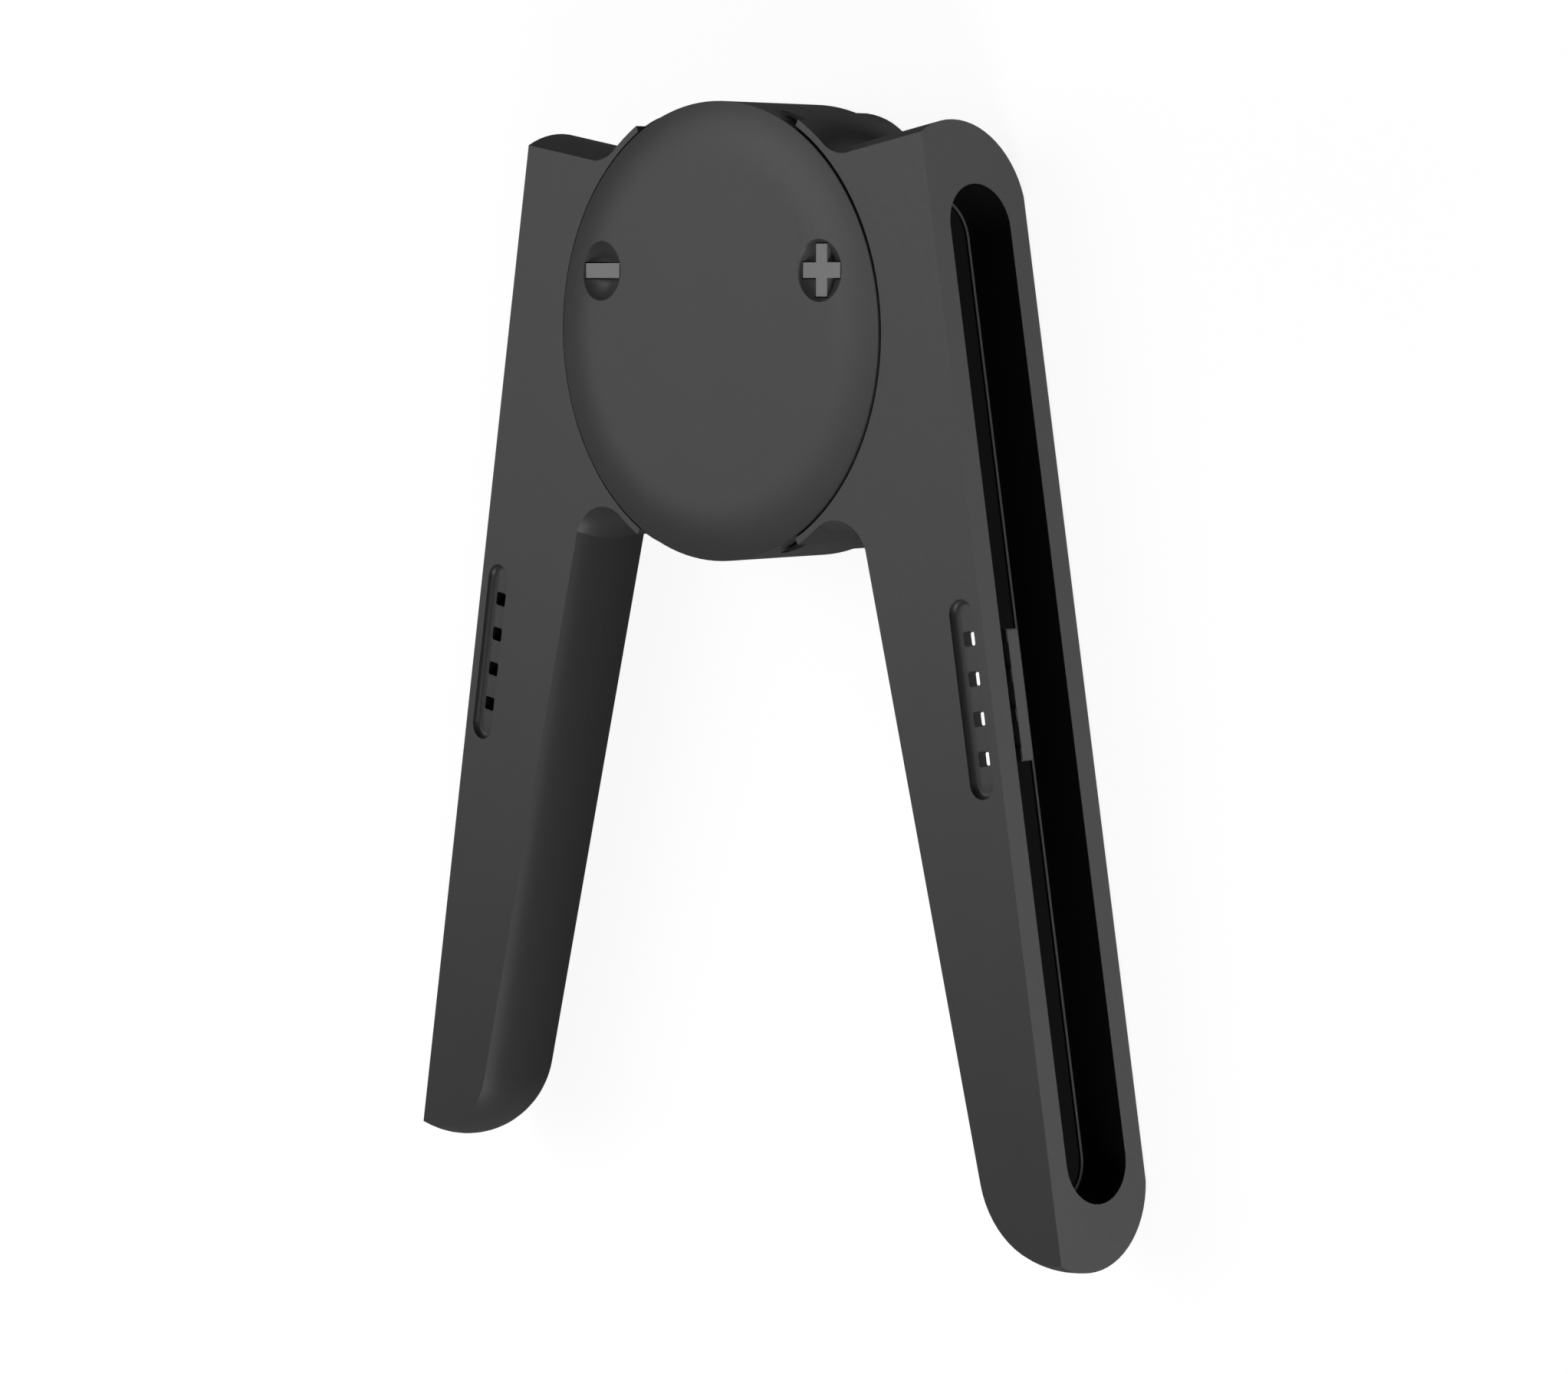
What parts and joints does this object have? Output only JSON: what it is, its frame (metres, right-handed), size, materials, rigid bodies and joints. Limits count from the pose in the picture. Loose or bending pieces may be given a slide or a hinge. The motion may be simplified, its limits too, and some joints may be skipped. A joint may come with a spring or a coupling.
{
  "type": "controller grip",
  "caption": "Round hub with two splayed, hinged arms, each with a long pocket for a controller half; a minus and a plus button in finger dishes; light windows in the arms.",
  "frame": {"origin": "on the hub's axis, in the flat back face that the grip lies on", "axes": "+X to the right and +Y up along the grip, seen from the front; +Z out of the front"},
  "size_m": [0.091, 0.107, 0.0142],
  "materials": {
    "hub_plastic": "fine matt texture",
    "arm_plastic": "fine matt texture",
    "floor_plastic": "satin",
    "key_plastic": "satin",
    "guide_plastic": "frosted, light passes through",
    "board": "solder mask",
    "silicone": "soft matt",
    "pin_steel": "ground",
    "washer_nylon": "smooth",
    "spring_steel": "stamped",
    "screw_steel": "black zinc"
  },
  "bodies": {
    "hub": {"hub_front_cover": "hub_plastic", "hub_back_cover": "hub_plastic", "hinge_spindle": "pin_steel", "friction_washer": "washer_nylon", "wave_washer": "spring_steel", "button_board": "board", "minus_dome": "silicone", "plus_dome": "silicone", "cover_screws": "screw_steel", "board_screws": "screw_steel"},
    "left_arm": {"left_arm": "arm_plastic", "left_floor_plate": "floor_plastic", "left_light_guide": "guide_plastic", "left_plate_screws": "screw_steel"},
    "right_arm": {"right_arm": "arm_plastic", "right_floor_plate": "floor_plastic", "right_light_guide": "guide_plastic", "right_plate_screws": "screw_steel"},
    "minus_button": {"minus_button": "key_plastic"},
    "plus_button": {"plus_button": "key_plastic"}
  },
  "joints": [
    {"name": "left_arm_hinge", "type": "hinge", "parent": "hub", "child": "left_arm", "pos_m": [0, 0, 0.0071], "axis": [0, 0, 1], "range_deg": [0, 10]},
    {"name": "right_arm_hinge", "type": "hinge", "parent": "hub", "child": "right_arm", "pos_m": [0, 0, 0.0051], "axis": [0, 0, -1], "range_deg": [0, 10]},
    {"name": "minus_slide", "type": "slide", "parent": "hub", "child": "minus_button", "axis": [0, 0, -1], "range_m": [0, 0.0005], "stiffness_N_per_m": 1500, "springref_m": -0.0003, "deforming": ["minus_dome"]},
    {"name": "plus_slide", "type": "slide", "parent": "hub", "child": "plus_button", "axis": [0, 0, -1], "range_m": [0, 0.0005], "stiffness_N_per_m": 1500, "springref_m": -0.0003, "deforming": ["plus_dome"]}
  ]
}
